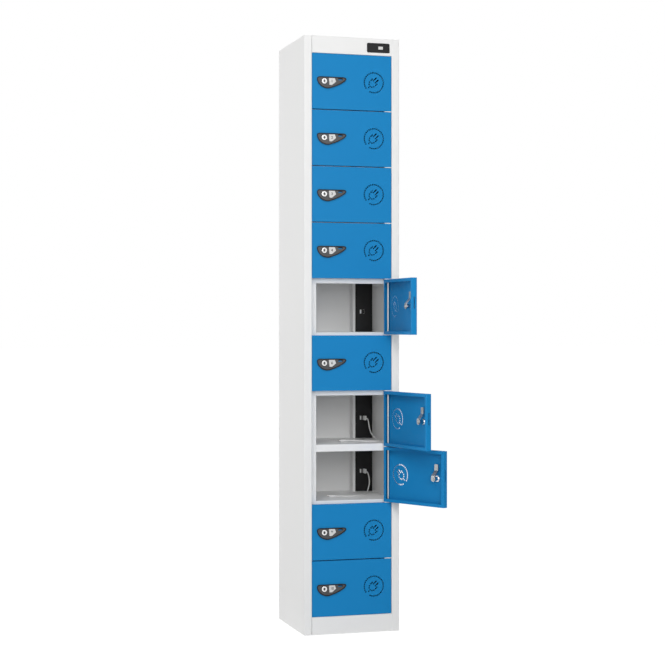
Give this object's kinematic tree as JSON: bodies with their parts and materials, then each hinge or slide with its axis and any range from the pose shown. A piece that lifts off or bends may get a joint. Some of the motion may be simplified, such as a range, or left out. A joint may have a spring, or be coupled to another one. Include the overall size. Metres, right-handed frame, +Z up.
{
  "type": "tablet charging locker",
  "caption": "Narrow steel tower locker with stacked compartments, each with a hinged pan door, cam lock, handle and USB outlets for charging a tablet.",
  "frame": {"origin": "on the floor, below the middle of the carcass's 300 by 300 mm footprint", "axes": "+X to the right seen from the front, +Y from the doors to the back panel, +Z up"},
  "size_m": [0.378, 0.5404, 1.8],
  "materials": {
    "white_powder_coat": "satin powder coat with a fine orange peel",
    "blue_powder_coat": "satin powder coat with a fine orange peel",
    "zinc_steel": "bright zinc plate",
    "chrome": "polished",
    "charcoal_plastic": "semi-gloss moulding",
    "black_plastic": "fine moulded grain",
    "module_plastic": "matt",
    "nickel_shell": "bright nickel plate",
    "grey_cable": "matt sheath",
    "white_lead": "soft satin sheath"
  },
  "bodies": {
    "carcass": {"left_side_panel": "white_powder_coat", "right_side_panel": "white_powder_coat", "back_panel": "white_powder_coat", "top_panel": "white_powder_coat", "base_tray": "white_powder_coat", "base_plate": "white_powder_coat", "shelves": "white_powder_coat", "hinge_rod": "zinc_steel", "hinge_brackets": "white_powder_coat", "charging_duct": "white_powder_coat", "outlet_faceplates": "black_plastic", "charger_modules": "module_plastic", "usb_sockets": "nickel_shell", "mains_inlet": "black_plastic", "supply_cable": "grey_cable", "header_plate": "charcoal_plastic", "charging_lead_07": "white_lead", "charging_lead_08": "white_lead", "lead_connectors_07": "white_lead", "lead_connectors_08": "white_lead"},
    "door_01": {"door_01": "blue_powder_coat", "handle_01": "charcoal_plastic", "lock_barrel_01": "chrome"},
    "lock_cam_01": {"lock_cam_01": "zinc_steel"},
    "door_02": {"door_02": "blue_powder_coat", "handle_02": "charcoal_plastic", "lock_barrel_02": "chrome"},
    "lock_cam_02": {"lock_cam_02": "zinc_steel"},
    "door_03": {"door_03": "blue_powder_coat", "handle_03": "charcoal_plastic", "lock_barrel_03": "chrome"},
    "lock_cam_03": {"lock_cam_03": "zinc_steel"},
    "door_04": {"door_04": "blue_powder_coat", "handle_04": "charcoal_plastic", "lock_barrel_04": "chrome"},
    "lock_cam_04": {"lock_cam_04": "zinc_steel"},
    "door_05": {"door_05": "blue_powder_coat", "handle_05": "charcoal_plastic", "lock_barrel_05": "chrome"},
    "lock_cam_05": {"lock_cam_05": "zinc_steel"},
    "door_06": {"door_06": "blue_powder_coat", "handle_06": "charcoal_plastic", "lock_barrel_06": "chrome"},
    "lock_cam_06": {"lock_cam_06": "zinc_steel"},
    "door_07": {"door_07": "blue_powder_coat", "handle_07": "charcoal_plastic", "lock_barrel_07": "chrome"},
    "lock_cam_07": {"lock_cam_07": "zinc_steel"},
    "door_08": {"door_08": "blue_powder_coat", "handle_08": "charcoal_plastic", "lock_barrel_08": "chrome"},
    "lock_cam_08": {"lock_cam_08": "zinc_steel"},
    "door_09": {"door_09": "blue_powder_coat", "handle_09": "charcoal_plastic", "lock_barrel_09": "chrome"},
    "lock_cam_09": {"lock_cam_09": "zinc_steel"},
    "door_10": {"door_10": "blue_powder_coat", "handle_10": "charcoal_plastic", "lock_barrel_10": "chrome"},
    "lock_cam_10": {"lock_cam_10": "zinc_steel"}
  },
  "joints": [
    {"name": "door_hinge_01", "type": "hinge", "parent": "carcass", "child": "door_01", "pos_m": [0.1165, -0.1445, 1.6642], "axis": [0, 0, 1], "range_deg": [0, 120]},
    {"name": "cam_turn_01", "type": "hinge", "parent": "door_01", "child": "lock_cam_01", "pos_m": [-0.0885, -0.15, 1.6642], "axis": [0, -1, 0], "range_deg": [0, 90]},
    {"name": "door_hinge_02", "type": "hinge", "parent": "carcass", "child": "door_02", "pos_m": [0.1165, -0.1445, 1.4946], "axis": [0, 0, 1], "range_deg": [0, 120]},
    {"name": "cam_turn_02", "type": "hinge", "parent": "door_02", "child": "lock_cam_02", "pos_m": [-0.0885, -0.15, 1.4946], "axis": [0, -1, 0], "range_deg": [0, 90]},
    {"name": "door_hinge_03", "type": "hinge", "parent": "carcass", "child": "door_03", "pos_m": [0.1165, -0.1445, 1.325], "axis": [0, 0, 1], "range_deg": [0, 120]},
    {"name": "cam_turn_03", "type": "hinge", "parent": "door_03", "child": "lock_cam_03", "pos_m": [-0.0885, -0.15, 1.325], "axis": [0, -1, 0], "range_deg": [0, 90]},
    {"name": "door_hinge_04", "type": "hinge", "parent": "carcass", "child": "door_04", "pos_m": [0.1165, -0.1445, 1.1554], "axis": [0, 0, 1], "range_deg": [0, 120]},
    {"name": "cam_turn_04", "type": "hinge", "parent": "door_04", "child": "lock_cam_04", "pos_m": [-0.0885, -0.15, 1.1554], "axis": [0, -1, 0], "range_deg": [0, 90]},
    {"name": "door_hinge_05", "type": "hinge", "parent": "carcass", "child": "door_05", "pos_m": [0.1165, -0.1445, 0.9858], "axis": [0, 0, 1], "range_deg": [-90.7, 29.3]},
    {"name": "cam_turn_05", "type": "hinge", "parent": "door_05", "child": "lock_cam_05", "pos_m": [0.1245, -0.34942, 0.9858], "axis": [0.9999, 0.0122, 0], "range_deg": [0, 90]},
    {"name": "door_hinge_06", "type": "hinge", "parent": "carcass", "child": "door_06", "pos_m": [0.1165, -0.1445, 0.8162], "axis": [0, 0, 1], "range_deg": [0, 120]},
    {"name": "cam_turn_06", "type": "hinge", "parent": "door_06", "child": "lock_cam_06", "pos_m": [-0.0885, -0.15, 0.8162], "axis": [0, -1, 0], "range_deg": [0, 90]},
    {"name": "door_hinge_07", "type": "hinge", "parent": "carcass", "child": "door_07", "pos_m": [0.1165, -0.1445, 0.6466], "axis": [0, 0, 1], "range_deg": [-101.8, 18.2]},
    {"name": "cam_turn_07", "type": "hinge", "parent": "door_07", "child": "lock_cam_07", "pos_m": [0.16381, -0.34404, 0.6466], "axis": [0.9789, 0.2045, 0], "range_deg": [0, 90]},
    {"name": "door_hinge_08", "type": "hinge", "parent": "carcass", "child": "door_08", "pos_m": [0.1165, -0.1445, 0.477], "axis": [0, 0, 1], "range_deg": [-116.4, 3.6]},
    {"name": "cam_turn_08", "type": "hinge", "parent": "door_08", "child": "lock_cam_08", "pos_m": [0.21258, -0.32567, 0.477], "axis": [0.8957, 0.4446, 0], "range_deg": [0, 90]},
    {"name": "door_hinge_09", "type": "hinge", "parent": "carcass", "child": "door_09", "pos_m": [0.1165, -0.1445, 0.3074], "axis": [0, 0, 1], "range_deg": [0, 120]},
    {"name": "cam_turn_09", "type": "hinge", "parent": "door_09", "child": "lock_cam_09", "pos_m": [-0.0885, -0.15, 0.3074], "axis": [0, -1, 0], "range_deg": [0, 90]},
    {"name": "door_hinge_10", "type": "hinge", "parent": "carcass", "child": "door_10", "pos_m": [0.1165, -0.1445, 0.1378], "axis": [0, 0, 1], "range_deg": [0, 120]},
    {"name": "cam_turn_10", "type": "hinge", "parent": "door_10", "child": "lock_cam_10", "pos_m": [-0.0885, -0.15, 0.1378], "axis": [0, -1, 0], "range_deg": [0, 90]}
  ]
}
